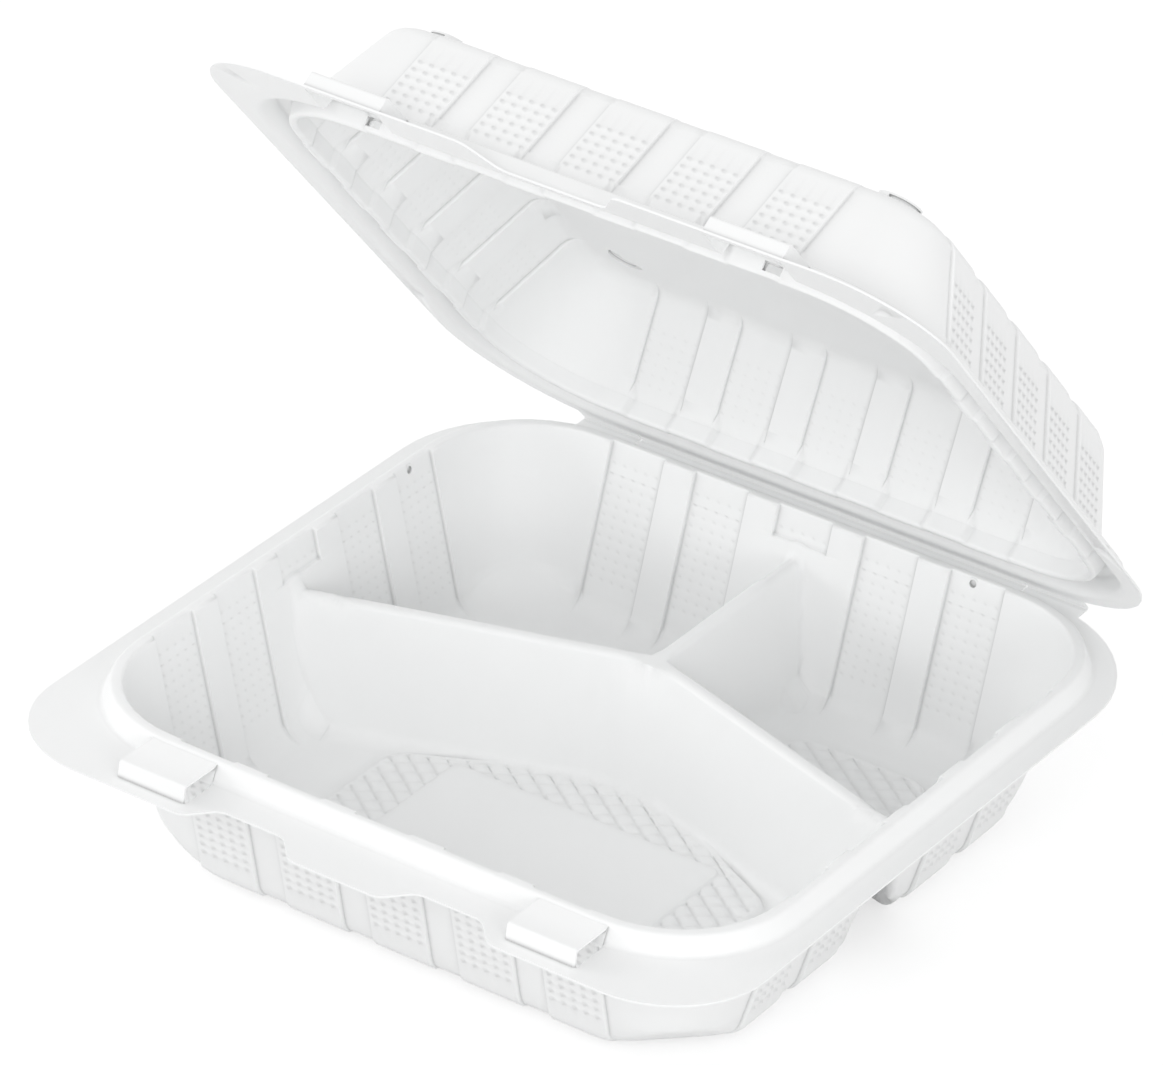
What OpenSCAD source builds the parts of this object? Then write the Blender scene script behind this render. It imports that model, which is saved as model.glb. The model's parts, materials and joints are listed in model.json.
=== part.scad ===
// Three-compartment clamshell take-out container, formed from one sheet of white plastic.
// The tray stands on z = 0 with its front at -Y. The hinge runs along X behind the back rim,
// and the lid is modelled closed, then swung open on the hinge line.

/* [Overall] */
// Width between the inner edges of the tray rim, side to side
rim_w = 200; // [180:1:220]
// Depth between the inner edges of the tray rim, front to back
rim_d = 200; // [180:1:220]
// Height of the tray to the top of its rim bead
tray_h = 50; // [44:1:60]
// Rise of the lid's top panel above the lid's rim bead
lid_h = 30; // [24:1:38]
// Thickness of the sheet
wall = 0.6; // [0.5:0.05:0.8]
// Corner radius along the inner edge of the rim
corner_r = 32; // [29:1:36]
// Angle that the lid is drawn open
lid_open = 47; // [0:1:180]

/* [Walls] */
// Lean of the tray walls from the vertical
tray_draft = 15; // [10:0.5:17]
// Lean of the lid walls from the vertical
lid_draft = 24; // [16:0.5:26]
// Radius between the tray walls and its floor
floor_r = 8; // [4:0.5:9]
// Radius between the lid walls and its top panel
crown_r = 6; // [3:0.5:8]
// Number of raised bands on each wall
bands = 5; // [3:2:5]
// Width of a band
band_w = 17.6; // [10:0.2:19]
// Outward depth of a band
band_depth = 1.1; // [0.5:0.1:1.4]
// Width of the slanted edge of a band
band_edge = 0.5; // [0.3:0.1:1]
// Smooth wall between the outermost bands and the corners
band_margin = 3.7; // [1:0.1:6]

/* [Rim] */
// Width of the flat top of the tray's rim bead
bead_w = 3.4; // [2.8:0.1:5]
// Height of the rim bead above the flange
bead_h = 5.5; // [5:0.1:7]
// Outward lean of the bead's outer face over its height
bead_run = 2.2; // [1:0.1:3]
// Reach of the flange from the rim's inner edge, at the sides
side_reach = 12.5; // [12:0.1:16]
// Reach of the flange at the back
back_reach = 11; // [9:0.1:14]
// Reach of the tray's flange at the front, between the finger lobes
front_reach = 15; // [12:0.1:18]
// Reach of the tray's finger lobes at the front
lobe_reach = 23; // [20:0.1:27]
// Reach of the lid's flange at the front, between its finger lobes
lid_front_reach = 9; // [8.5:0.1:14]
// Reach of the lid's finger lobes at the front
lid_lobe_reach = 21; // [20.5:0.1:25]
// Corner radius of the flange at the front
front_r = 30; // [20:1:34]
// Radius where a finger lobe runs into the front edge
lobe_r = 4; // [2:0.5:5]
// Run of a finger lobe's slanted end along the front
lobe_slant = 7; // [4:0.5:9]
// Width of the tray's finger lobe at the middle of the front
middle_lobe_w = 35; // [24:1:38]
// Width of the notches beside that lobe
notch_w = 27; // [18:1:30]
// Gap along the front between the tray's middle lobe and the lid's lobes
lobe_gap = 2; // [1:0.5:6]
// Gap between tray and lid where they meet when closed
seat_gap = 0.4; // [0.3:0.05:0.6]
// Depth of the lid's plug ring below its rim bead
plug_h = 5; // [3:0.1:6]
// Width of the plug ring's foot
plug_w = 2.4; // [2.2:0.1:3.5]
// Inset of the lid wall from the rim's inner edge
lid_inset = 2.4; // [2.1:0.1:3.5]

/* [Dividers] */
// Height of the divider crests
divider_h = 38; // [28:1:42]
// Width of a divider's crest
crest_w = 4; // [3:0.1:6]
// Lean of the divider faces from the vertical
divider_draft = 13; // [6:0.5:16]
// Place, behind the middle of the tray, where the lines of the front dividers cross
fork_y = 28; // [15:1:34]
// Sweep of the front dividers towards the back
fork_angle = 18; // [8:0.5:22]
// Bend radius of the front dividers where they meet
fork_r = 36; // [15:1:60]
// Height of the flared foot of a divider
foot_h = 5; // [2:0.5:7]
// Width of the flared foot of a divider
foot_w = 3; // [1:0.5:5]
// Wall left smooth between a divider's crest and the short band over it
ledge_gap = 3.5; // [1:0.5:5]

/* [Floor] */
// Rise of the raised floor panels
panel_rise = 2; // [1:0.1:3]
// Half width of the front floor panel
front_panel_x = 61; // [40:1:66]
// Depth of the front floor panel's straight sides
front_panel_d = 64; // [40:1:66]
// Gap from the front panel's straight sides back to the middle of the tray
front_panel_y = 4; // [0:1:10]
// Place of the front floor panel's back edge, behind the middle of the tray
front_peak_y = 16; // [4:1:18]
// Half width of that edge
front_peak_x = 14; // [4:1:24]
// Inner edge of the back floor panels, from the middle of the tray
back_panel_x = 20; // [18:1:34]
// Width of the back floor panels
back_panel_w = 46; // [20:1:50]
// Back edge of the back floor panels, from the middle of the tray
back_panel_y = 70; // [62:1:74]
// Depth of the back floor panels
back_panel_d = 32; // [20:1:36]
// Corner radius of the floor panels
panel_r = 9; // [4:1:9.5]
// Distance of the stacking facets' feet from the middles of the corner arcs
stack_in = 8.3; // [7:0.1:12]
// Lean of the stacking facets from the vertical
stack_lean = 50; // [40:1:60]

/* [Latches and vents] */
// Distance of the latch tabs from the middle of the front
tab_x = 61; // [54:1:66]
// Length of a latch tab
tab_l = 18; // [14:0.5:24]
// Reach of a latch tab from the rim's inner edge
tab_reach = 18.5; // [16:0.1:20]
// Drop of a latch tab's top below the rim bead
tab_drop = 0.8; // [0.5:0.1:1.5]
// Backward slant of a latch tab's front face over its height
latch_taper = 0.6; // [0:0.1:1]
// Room round a latch tab in its pocket
pocket_gap = 0.7; // [0.5:0.1:1]
// Width of the relief hole through the plug ring beside each pocket
relief_w = 5; // [3:0.5:8]
// Outer radius of the corner vent hoods
vent_r = 8; // [6:0.5:9]
// Width of a vent hood
vent_w = 4; // [3:0.5:5]
// Distance of a vent hood's tips from the middle of the corner arc
vent_tip = 2; // [1:0.5:3]
// Rise of a vent hood above the top panel
vent_h = 2; // [1.6:0.1:3]
// Height of the slit under a vent hood's outer edge
vent_slit = 0.9; // [0.6:0.1:1]
// Width of the snap slots through the tray walls, under the rim bead
snap_w = 3.5; // [2:0.5:5]
// Height of the snap slots
snap_h = 2.5; // [1.5:0.1:3]
// Distance of the snap slots from the middle of each wall
snap_x = 62; // [50:1:64]
// Radius of the snap dimples in the lid's flange
dimple_r = 2.2; // [1.5:0.1:2.4]
// Rise of the snap dimples
dimple_h = 1.2; // [0.8:0.1:2]
// Distance of the front dimples from the flange's front and side edges
dimple_edge = 14; // [11:0.5:16]
// Place of the side dimples behind the middle of the tray
dimple_y = 46; // [20:1:60]

/* [Hinge] */
// Distance of the hinge straps from the middle of the back
strap_x = 73; // [45:1:76]
// Width of a hinge strap
strap_w = 19; // [8:1:24]
// Reach of the straps from the flange to the hinge line
strap_reach = 3; // [2:0.1:5]
// Slit between the two halves of a strap along the hinge line
strap_slit = 0.3; // [0.2:0.05:0.6]

/* [Hidden] */

sheet_white = [0.93, 0.94, 0.94];
corner_steps = 6;
fillet_steps = 3;
cone_fn = 20;
overlap = 1;
far = 400;

flange_z = tray_h - bead_h;
hinge_y = rim_d / 2 + back_reach + strap_reach;
hinge_z = flange_z + seat_gap / 2;
bridge_z = tray_h + seat_gap;
bridge_top = bridge_z + wall;
lid_flange_z = flange_z + seat_gap;
lid_top = bridge_top + lid_h;
plug_z = bridge_z - plug_h;
bead_foot = bead_w + bead_run;
bead_skin = wall / cos(atan(bead_run / bead_h));
ledge_z = divider_h + ledge_gap;
side_x = rim_w / 2 + side_reach;
tray_lobe = middle_lobe_w / 2 + notch_w;
lid_lobe = middle_lobe_w / 2 + lobe_gap;
tab_z = tray_h - tab_drop;
untrimmed = 2 * lobe_reach;

// Walls are numbered front, right, back, left
function half(i) = (i % 2 == 0 ? rim_d : rim_w) / 2;
function outward(i) = [sin(90 * i), -cos(90 * i)];
function along(i) = [cos(90 * i), sin(90 * i)];
function band_pitch(i) = (2 * (half(i + 1) - corner_r - band_margin) - band_w) / (bands - 1);

// The middle band of every wall but the front stops at the ledge over a divider's end
function band_runs(i, k, z) = k == 0 && i > 0 && z < ledge_z ? 0 : 1;

// One wall's points at a given inset: each band is pushed out by a share of its depth
function wall_points(i, inset, z, share) = [
    for (k = [-(bands - 1) / 2 : (bands - 1) / 2])
        let (middle = k * band_pitch(i), push = share * band_depth * band_runs(i, k, z))
            for (p = [[-band_w / 2 - band_edge, 0], [-band_w / 2, push],
                      [band_w / 2, push], [band_w / 2 + band_edge, 0]])
                outward(i) * (half(i) - inset + p[1]) + along(i) * (middle + p[0])
];

function corner_middle(i) = outward(i) * (half(i) - corner_r) + along(i) * (half(i + 1) - corner_r);

function corner_points(i, inset) = [
    for (s = [0 : corner_steps])
        let (a = 90 * s / corner_steps)
            corner_middle(i) + (corner_r - inset) * (outward(i) * cos(a) + along(i) * sin(a))
];

// A section point holds its inset and its height; a third value, its share of the band depth,
// gives the ring the points of the bands
function ring(s) = [
    for (i = [0 : 3])
        for (p = concat(len(s) > 2 ? wall_points(i, s[0], s[1], s[2]) : [], corner_points(i, s[0])))
            [p[0], p[1], s[1]]
];
function reversed(list) = [for (i = [len(list) - 1 : -1 : 0]) list[i]];

// Triangles between two rings of n points that start at points a and b
function strip(a, b, n) = [
    for (j = [0 : n - 1])
        let (k = (j + 1) % n)
            for (f = [[a + j, a + k, b + k], [a + j, b + k, b + j]]) f
];

// Triangles from a ring with bands to a plain ring: a fan at each wall, a strip at each corner
function fans(a, b) = [
    for (i = [0 : 3])
        let (wide = 4 * bands, side = wide + corner_steps + 1, plain = corner_steps + 1,
             edge = [for (k = [-1 : wide]) a + (i * side + k + 4 * side) % (4 * side)],
             from = b + (i * plain + 4 * plain - 1) % (4 * plain), to = b + i * plain)
            each concat(
                [for (k = [0 : wide]) [edge[k], edge[k + 1], k < wide / 2 ? from : to]],
                [[edge[wide / 2], to, from]],
                [for (s = [0 : corner_steps - 1])
                    let (p = edge[wide + 1] + s)
                        for (f = [[p, p + 1, to + s + 1], [p, to + s + 1, to + s]]) f]
            )
];

// Skin through the rings of a list of section points, with a flat panel at both ends
module loft(section) {
    rings = [for (s = section) ring(s)];
    size = [for (r = rings) len(r)];
    last = len(rings) - 1;
    start = [for (i = 0, sum = 0; i <= last; sum = sum + size[i], i = i + 1) sum];
    sides = [
        for (i = [0 : last - 1])
            each size[i] == size[i + 1] ? strip(start[i], start[i + 1], size[i])
                : size[i] > size[i + 1] ? fans(start[i], start[i + 1])
                : [for (f = fans(start[i + 1], start[i])) reversed(f)]
    ];
    panels = [[for (j = [size[0] - 1 : -1 : 0]) j], [for (j = [0 : size[last] - 1]) start[last] + j]];
    polyhedron([for (r = rings) each r], concat(sides, panels), convexity = 12);
}

// Tray section, from the floor up the wall; skin 0 is the inside and skin 1 the outside
function tray_at(z) = (tray_h - z) * tan(tray_draft);
tray_arc_z = wall + floor_r;
tray_arc_in = tray_at(tray_arc_z - floor_r * sin(tray_draft)) + floor_r * cos(tray_draft);
function tray_wall(skin) = concat(
    [for (s = [0 : fillet_steps])
        let (a = -90 + (90 - tray_draft) * s / fillet_steps, r = floor_r + skin * wall)
            [tray_arc_in - r * cos(a), tray_arc_z + r * sin(a), min(1, 2 * s / fillet_steps)]],
    [for (z = [ledge_z - band_edge, ledge_z, tray_h - skin * wall])
        [tray_at(z) - skin * wall / cos(tray_draft), z, 1]]
);

// Tray bead and flange, out over the top and back underneath
tray_rim = [
    [-bead_w / 2, tray_h, 0],
    [-bead_w, tray_h],
    [-bead_foot, flange_z],
    [-untrimmed, flange_z],
    [-untrimmed, flange_z - wall],
    [bead_skin - bead_foot, flange_z - wall],
    [bead_skin - bead_w, tray_h - wall],
    [-bead_w / 2, tray_h - wall, 0]
];

// Lid section when closed, from the top panel down; skin 0 is the outside and skin 1 the inside
function lid_at(z) = lid_inset + (z - bridge_top) * tan(lid_draft);
lid_arc_r = crown_r + wall;
lid_arc_z = lid_top - lid_arc_r;
lid_arc_in = lid_at(lid_arc_z + lid_arc_r * sin(lid_draft)) + lid_arc_r * cos(lid_draft);
function lid_wall(skin) = concat(
    [for (s = [0 : fillet_steps])
        let (a = 90 - (90 - lid_draft) * s / fillet_steps, r = lid_arc_r - skin * wall)
            [lid_arc_in - r * cos(a), lid_arc_z + r * sin(a), min(1, 2 * s / fillet_steps)]],
    [[lid_inset + skin * wall / cos(lid_draft), bridge_top, 1]]
);

// Lid plug, bead and flange, out over the top and back underneath
function plug_at(z) = tray_at(z) + seat_gap;
plug_foot = plug_at(plug_z) + plug_w;
lid_foot = bead_foot + seat_gap;
lid_rim = [
    [plug_foot - wall, plug_z + wall, 1],
    [plug_at(plug_z) + wall, plug_z + wall, 1],
    [plug_at(bridge_z) + wall, bridge_top, 1],
    [-bead_w / 2, bridge_top, 0],
    [-bead_w - seat_gap - bead_skin, bridge_top],
    [-lid_foot - bead_skin, lid_flange_z + wall],
    [-untrimmed, lid_flange_z + wall],
    [-untrimmed, lid_flange_z],
    [-lid_foot, lid_flange_z],
    [-bead_w - seat_gap, bridge_z],
    [-bead_w / 2, bridge_z, 0],
    [plug_at(bridge_z), bridge_z, 1],
    [plug_at(plug_z), plug_z, 1],
    [plug_foot, plug_z, 1]
];

module both_sides() {
    children();
    mirror([1, 0, 0]) children();
}

// Lobe of the front edge, from the middle of its slanted end to its other end, with round corners;
// the base value is the reach of the edge that it stands out from
module lobe(reach, base, start, end, r) {
    way = sign(end - start);
    hull() {
        translate([start + way * (lobe_slant + lobe_r) / 2, lobe_r - rim_d / 2 - reach])
            circle(lobe_r, $fn = 16);
        for (edge = [base, reach])
            translate([end - way * r, r - rim_d / 2 - edge]) circle(r, $fn = 32);
        translate([start - (way * lobe_slant + overlap) / 2, -rim_d / 2 - base]) square(overlap);
    }
}

// Edge of a flange of a given reach at the front, with its finger lobes as children and its half
// of the hinge straps
module flange_outline(reach) {
    back_r = corner_r + back_reach;
    edge = rim_d / 2 + reach;
    offset(r = -lobe_r, $fn = 16) offset(delta = lobe_r) {
        hull() both_sides() {
            translate([side_x - back_r, rim_d / 2 + back_reach - back_r]) circle(back_r, $fn = 48);
            translate([side_x - front_r, front_r - edge]) circle(front_r, $fn = 32);
        }
        children();
    }
    both_sides() translate([strap_x - strap_w / 2, rim_d / 2])
        square([strap_w, back_reach + strap_reach - strap_slit / 2]);
}

// The sheet is formed with a wide flange, then trimmed to the outline given as children
module trimmed_sheet(section) {
    intersection() {
        loft(section);
        translate([0, 0, -overlap]) linear_extrude(far) children();
    }
}

// Line of the front dividers: straight, bent round the fork, straight again
fork_mid = fork_y - fork_r / cos(fork_angle);
function fork_end(side) = [side * rim_w, fork_y - rim_w * tan(fork_angle)];
function fork_bend(a) = [fork_r * sin(a), fork_mid + fork_r * cos(a)];
fork_line = concat([fork_end(-1)], [for (s = [-2 : 2]) fork_bend(fork_angle * s / 2)], [fork_end(1)]);
back_line = [fork_bend(0), [0, rim_d]];

// One post of a divider, leaning in to a rounded crest, and its flared foot
module divider_post(skin) {
    lean = tan(divider_draft);
    crest = crest_w / 2 - skin * (1 - sin(divider_draft)) / cos(divider_draft);
    top = divider_h - skin;
    round = crest_w / 4;
    translate([0, 0, -overlap]) cylinder(h = top - round + overlap, r1 = crest + (top + overlap) * lean,
                                         r2 = crest + round * lean, $fn = cone_fn);
    cylinder(h = top - round / 4, r = 0.6 * crest, $fn = cone_fn);
    cylinder(h = top, r1 = crest / 2, r2 = 0, $fn = cone_fn);
}

module divider_foot(skin) {
    top = foot_h - skin / 2;
    base = crest_w / 2 + divider_h * tan(divider_draft) + foot_w - skin / cos(divider_draft);
    neck = base - foot_w - top * tan(divider_draft) - crest_w / 4;
    flare = (base - neck) / top;
    translate([0, 0, -overlap])
        cylinder(h = top + overlap, r1 = base + overlap * flare, r2 = neck, $fn = cone_fn);
}

// Dividers swept along their lines; the skin value shrinks them to the hollow underneath
module dividers(skin) {
    for (line = [fork_line, back_line], i = [0 : len(line) - 2]) {
        hull() for (p = [line[i], line[i + 1]]) translate(p) divider_post(skin);
        hull() for (p = [line[i], line[i + 1]]) translate(p) divider_foot(skin);
    }
}

// Raised floor panels, one for each compartment; the grow value adds the sheet's thickness
module floor_panels(grow) {
    r = panel_r + grow;
    translate([0, 0, -overlap]) linear_extrude(overlap + panel_rise + grow) {
        hull() both_sides() {
            for (y = [front_panel_y, front_panel_y + front_panel_d - 2 * panel_r])
                translate([front_panel_x - panel_r, -panel_r - y]) circle(r, $fn = 24);
            translate([front_peak_x, front_peak_y - panel_r]) circle(r, $fn = 24);
        }
        both_sides() hull()
            for (x = [panel_r, back_panel_w - panel_r], y = [panel_r, back_panel_d - panel_r])
                translate([back_panel_x + x, back_panel_y - y]) circle(r, $fn = 24);
    }
}

// Places a child that points along +X so that it points out of each corner
module at_corners() {
    for (i = [0 : 3])
        translate(corner_middle(i)) rotate(90 * i - 45) children();
}

// Stacking facets: a slanted plane across each lower corner, moved in by the sheet's thickness
module stack_facets(grow) {
    run = tan(stack_lean);
    reach = corner_r + stack_in;
    at_corners() translate([stack_in - grow / cos(stack_lean), 0, 0]) rotate([90, 0, 0])
        linear_extrude(2 * corner_r, center = true)
            polygon([[-overlap * run, -overlap], [reach, -overlap], [reach, reach / run]]);
}

// Latch tab: a bridge formed up out of the flange, with a slanted front and open ends; its root
// lies this far outside the face of the tray's bead
module latch(length, reach, top, root) {
    both_sides() hull()
        for (step = [[flange_z - wall - overlap, 0], [top, latch_taper]])
            let (bead_face = bead_w + root + (tray_h - step[0]) * bead_run / bead_h)
                translate([tab_x - length / 2, step[1] - rim_d / 2 - reach, step[0] - wall / 4])
                    cube([length, reach - step[1] - bead_face, wall / 4]);
}

module above(z) {
    intersection() {
        children();
        translate([-far / 2, -far / 2, z]) cube(far);
    }
}

module snap_slots() {
    for (i = [0 : 3])
        rotate(90 * i) translate([-snap_x - snap_w / 2, -half(i) - bead_w / 2, tray_h - wall - 2 * snap_h])
            cube([snap_w, bead_w, snap_h]);
}

module tray() {
    color(sheet_white) difference() {
        union() {
            trimmed_sheet(concat(tray_wall(0), tray_rim, reversed(tray_wall(1))))
                flange_outline(front_reach) {
                    both_sides() lobe(lobe_reach, front_reach, middle_lobe_w / 2, -lobe_r, lobe_r);
                    both_sides() lobe(lobe_reach, front_reach, tray_lobe, side_x, front_r);
                }
            intersection() {
                loft(reversed(tray_wall(0.5)));
                union() {
                    dividers(0);
                    floor_panels(wall);
                    stack_facets(wall);
                }
            }
            above(flange_z - wall / 2) latch(tab_l, tab_reach, tab_z, -bead_skin / 2);
        }
        dividers(wall);
        floor_panels(0);
        stack_facets(0);
        latch(tab_l + overlap, tab_reach - wall, tab_z - wall, overlap / 4);
        snap_slots();
    }
}

// Vent hoods: a crescent near each corner of the top panel
module crescents(grow) {
    at_corners() offset(delta = grow) difference() {
        circle(vent_r, $fn = 32);
        translate([-vent_w, 0]) circle(vent_r, $fn = 32);
        translate([-vent_r, -vent_r]) square([vent_r + vent_tip, 2 * vent_r]);
    }
}

// Snap dimples in the lid's flange, pushed up from below
module dimples(base, grow) {
    side_middle = (side_reach - lid_foot - bead_skin) / 2;
    both_sides() for (p = [[dimple_edge, dimple_edge - rim_d / 2 - lid_lobe_reach], [side_middle, dimple_y]])
        translate([side_x - p[0], p[1], lid_flange_z + base]) hull() {
            cylinder(h = 1.5 * wall - base, r = dimple_r + grow, $fn = 12);
            cylinder(h = dimple_h + grow - base, r = dimple_r / 2 + grow, $fn = 12);
        }
}

module lid_closed() {
    pocket_l = tab_l + 2 * pocket_gap;
    pocket_reach = tab_reach + pocket_gap;
    pocket_z = tab_z + seat_gap;
    difference() {
        union() {
            trimmed_sheet(concat(lid_wall(0), lid_rim, reversed(lid_wall(1))))
                flange_outline(lid_front_reach)
                    both_sides() lobe(lid_lobe_reach, lid_front_reach, lid_lobe, side_x, front_r);
            above(lid_flange_z + wall / 2)
                latch(pocket_l + 2 * wall, pocket_reach + wall, pocket_z + wall, seat_gap + bead_skin / 2);
            translate([0, 0, lid_top - wall / 2]) linear_extrude(vent_h + wall / 2) crescents(0);
            dimples(wall / 2, wall);
        }
        latch(pocket_l, pocket_reach, pocket_z, 0);
        translate([0, 0, lid_top - 2 * wall]) linear_extrude(vent_h + wall) crescents(-wall);
        translate([0, 0, lid_top + wall / 4]) linear_extrude(vent_slit) at_corners()
            translate([vent_r - wall - overlap / 4, -vent_r / 2]) square([vent_w, vent_r]);
        both_sides() translate([tab_x - relief_w / 2, -rim_d / 2 - band_depth, plug_z + 2 * wall])
            cube([relief_w, plug_foot + band_depth + wall, plug_h / 2]);
        dimples(-overlap, 0);
    }
}

module lid() {
    color(sheet_white)
        translate([0, hinge_y, hinge_z]) rotate([-lid_open, 0, 0]) translate([0, -hinge_y, -hinge_z])
            lid_closed();
}

tray();
lid();
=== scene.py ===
"""Looks of the three-compartment clamshell container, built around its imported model.

Tray and lid are each one formed sheet: rings that follow the rim carry the wall bands and the bead,
flat regions inside and outside the rings make the floor, the top panel and the flange. All working
sizes are in millimetres, with the lid closed; the finished pieces are in metres, at rest.
"""
import json
import math

import bmesh
import bpy
import numpy as np
from mathutils import Matrix, Vector
from mathutils.geometry import delaunay_2d_cdt


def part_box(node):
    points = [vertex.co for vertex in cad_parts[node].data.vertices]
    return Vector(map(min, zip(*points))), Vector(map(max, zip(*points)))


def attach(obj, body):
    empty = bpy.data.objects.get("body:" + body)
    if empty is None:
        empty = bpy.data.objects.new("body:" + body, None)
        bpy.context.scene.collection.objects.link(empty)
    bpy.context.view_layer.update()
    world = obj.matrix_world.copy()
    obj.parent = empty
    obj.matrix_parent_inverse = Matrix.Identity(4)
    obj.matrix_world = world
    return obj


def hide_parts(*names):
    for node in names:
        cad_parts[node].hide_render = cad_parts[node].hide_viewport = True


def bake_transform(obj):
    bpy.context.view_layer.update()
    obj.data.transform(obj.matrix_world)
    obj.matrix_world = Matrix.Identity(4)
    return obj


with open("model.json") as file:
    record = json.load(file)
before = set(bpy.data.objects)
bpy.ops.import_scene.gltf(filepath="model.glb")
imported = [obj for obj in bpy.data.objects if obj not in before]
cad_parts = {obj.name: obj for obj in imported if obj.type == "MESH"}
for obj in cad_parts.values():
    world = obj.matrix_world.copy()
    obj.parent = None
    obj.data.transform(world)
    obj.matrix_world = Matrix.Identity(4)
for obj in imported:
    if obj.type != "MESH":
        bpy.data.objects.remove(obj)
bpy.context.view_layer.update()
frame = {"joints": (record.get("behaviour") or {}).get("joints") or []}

MM = 0.001

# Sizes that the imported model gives
hinge = frame["joints"][0]
HINGE_Y = hinge["pos_m"][1] / MM
HINGE_Z = hinge["pos_m"][2] / MM
LID_OPEN = math.radians(-hinge["range_deg"][0])
tray_low, tray_high = (np.array(corner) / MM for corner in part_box("tray"))
TRAY_H = tray_high[2]
SIDE_X = tray_high[0]
LOBE_Y = -tray_low[1]

# Sheet, walls and bands
WALL = 0.6
SIDE_REACH = 12.5
RIM = SIDE_X - SIDE_REACH
CORNER_R = 32.0
TRAY_DRAFT = math.radians(15)
LID_DRAFT = math.radians(24)
LID_H = 30.0
FLOOR_R = 8.0
CROWN_R = 6.6
BANDS = 5
BAND_W = 17.6
BAND_DEPTH = 1.1
BAND_EDGE = 0.4
BAND_MARGIN = 3.7
LEDGE_Z = 41.5
LEDGE_STEPS = (0, 0.35, 0.65, 1)

# Dots pressed into the bands
DOT_PITCH_W = 3.5
DOT_PITCH_H = 3.06
DOT_COLUMNS = 5
DOT_HALF_W = 0.85
DOT_HALF_H = 0.62
DOT_DEPTH = 0.3
DOT_BUMP = 0.4
TRAY_DOTS_Z = (10.0, 46.5)
LID_DOTS_Z = (54.5, 74.0)

# Rim
BEAD_W = 3.4
BEAD_H = 5.5
BEAD_RUN = 2.2
BEAD_R = 1.3
LIP_R = 1.0
LIP_DROP = 2.5
LID_LIP_R = 1.0
LID_LIP_RISE = 1.5
FOOT_R = 1.2
FOOT_RUN = 1.6
BEAD_FOOT = BEAD_W + BEAD_RUN
BEAD_SKIN = WALL / math.cos(math.atan(BEAD_RUN / BEAD_H))
BACK_REACH = 11.0
FRONT_REACH = 15.0
LID_FRONT_REACH = 9.0
LID_LOBE_REACH = 21.0
FRONT_R = 30.0
LOBE_R = 5.0
LOBE_SLANT = 7.0
MIDDLE_LOBE = 17.5
NOTCH_W = 27.0
LOBE_GAP = 2.0
SEAT_GAP = 0.4
PLUG_H = 5.0
PLUG_W = 2.4
LID_INSET = 2.4
PLUG_R = 0.45
SHELL_LIMIT = 1.4

FLANGE_Z = TRAY_H - BEAD_H
BRIDGE_Z = TRAY_H + SEAT_GAP
BRIDGE_TOP = BRIDGE_Z + WALL
LID_FLANGE_Z = FLANGE_Z + SEAT_GAP + WALL
LID_TOP = BRIDGE_TOP + LID_H
PLUG_Z = BRIDGE_Z - PLUG_H
LID_FOOT = BEAD_FOOT + SEAT_GAP + BEAD_SKIN

# Dividers, floor panels and stacking facets
DIVIDER_H = 38.0
CREST_W = 4.0
CREST_R = 1.8
DIVIDER_DRAFT = math.radians(13)
DIVIDER_FOOT_R = 6.0
DIVIDER_BLEND = 8.0
BLEND_SHARE = 0.8
FORMED_BELOW = 3.0
FORK_Y = 28.0
FORK_ANGLE = math.radians(18)
FORK_R = 36.0
FORK_BLEND = 7.0
PANEL_RISE = 2.0
PANEL_R = 9.0
PANEL_EDGE = 1.8
FRONT_PANEL = [(-52, -59), (52, -59), (52, -13), (14, 7), (-14, 7), (-52, -13)]
BACK_PANEL = [(29, 47), (57, 47), (57, 61), (29, 61)]
STACK_IN = 8.3
STACK_LEAN = math.radians(50)
STACK_BLEND = 2.5

# Bare plate in the front compartment, and the grooves cut across the floor panels
PLATE = [(-40, -55), (40, -55), (40, -5.5), (-40, -5.5)]
PLATE_R = 3.0
PLATE_RISE = 0.5
PLATE_EDGE = 0.7
GROOVE_ANGLE = math.radians(37)
GROOVE_PITCH = 4.9
GROOVE_DEPTH = 0.55
FAINT_GROOVES = 0.55
GROOVE_HALF_W = 0.75
GROOVE_FADE = 0.6
GROOVE_MARGIN = 1.6

# Latches, vents, slots and dimples
TAB_X = 61.0
TAB_L = 21.0
TAB_REACH = 18.5
TAB_Z = TRAY_H - 0.8
TAB_TAPER = 0.6
TAB_R = 1.1
TAB_SLIT = 1.0
POCKET_GAP = 0.7
RELIEF_W = 5.0
VENT_R = 6.2
VENT_OUT = 1.8
VENT_W = 6.8
VENT_TIP = -1.0
VENT_H = 2.7
VENT_SILL = 0.1
VENT_SPAN = math.radians(52)
SNAP_X = 54.0
SNAP_Z = TRAY_H - 1.9
SNAP_R = 1.1
SNAP_DEPTH = 0.6
DIMPLE_R = 2.2
DIMPLE_H = 1.2
DIMPLE_EDGE = 14.0
DIMPLE_Y = 46.0

# Look of the sheet: tints, roughness, fine grain, and the shade in its creases
TINTS = ((0.3, (0.93, 0.935, 0.935, 1)), (0.7, (0.945, 0.95, 0.95, 1)))
ROUGHNESS = (0.38, 0.50)
CLOUD_SCALE = 14
CLOUD_DETAIL = 3
GRAIN_SCALE = 1800
GRAIN_DETAIL = 2
GRAIN_HEIGHT = 0.1
GRAIN_STRENGTH = 0.12
CREASE_REACH = 1.6
CREASE_OPEN = (0.45, 0.92)
CREASE_SHADE = 0.5
CREASE_SAMPLES = 8
THIN_GLOW = 0.8
SHARP_EDGE = math.radians(60)

# Hinge straps
STRAP_X = 73.0
STRAP_W = 19.0
STRAP_T = 0.5
STRAP_RUN = 6.0
WEB_GAP = 1.0

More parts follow.
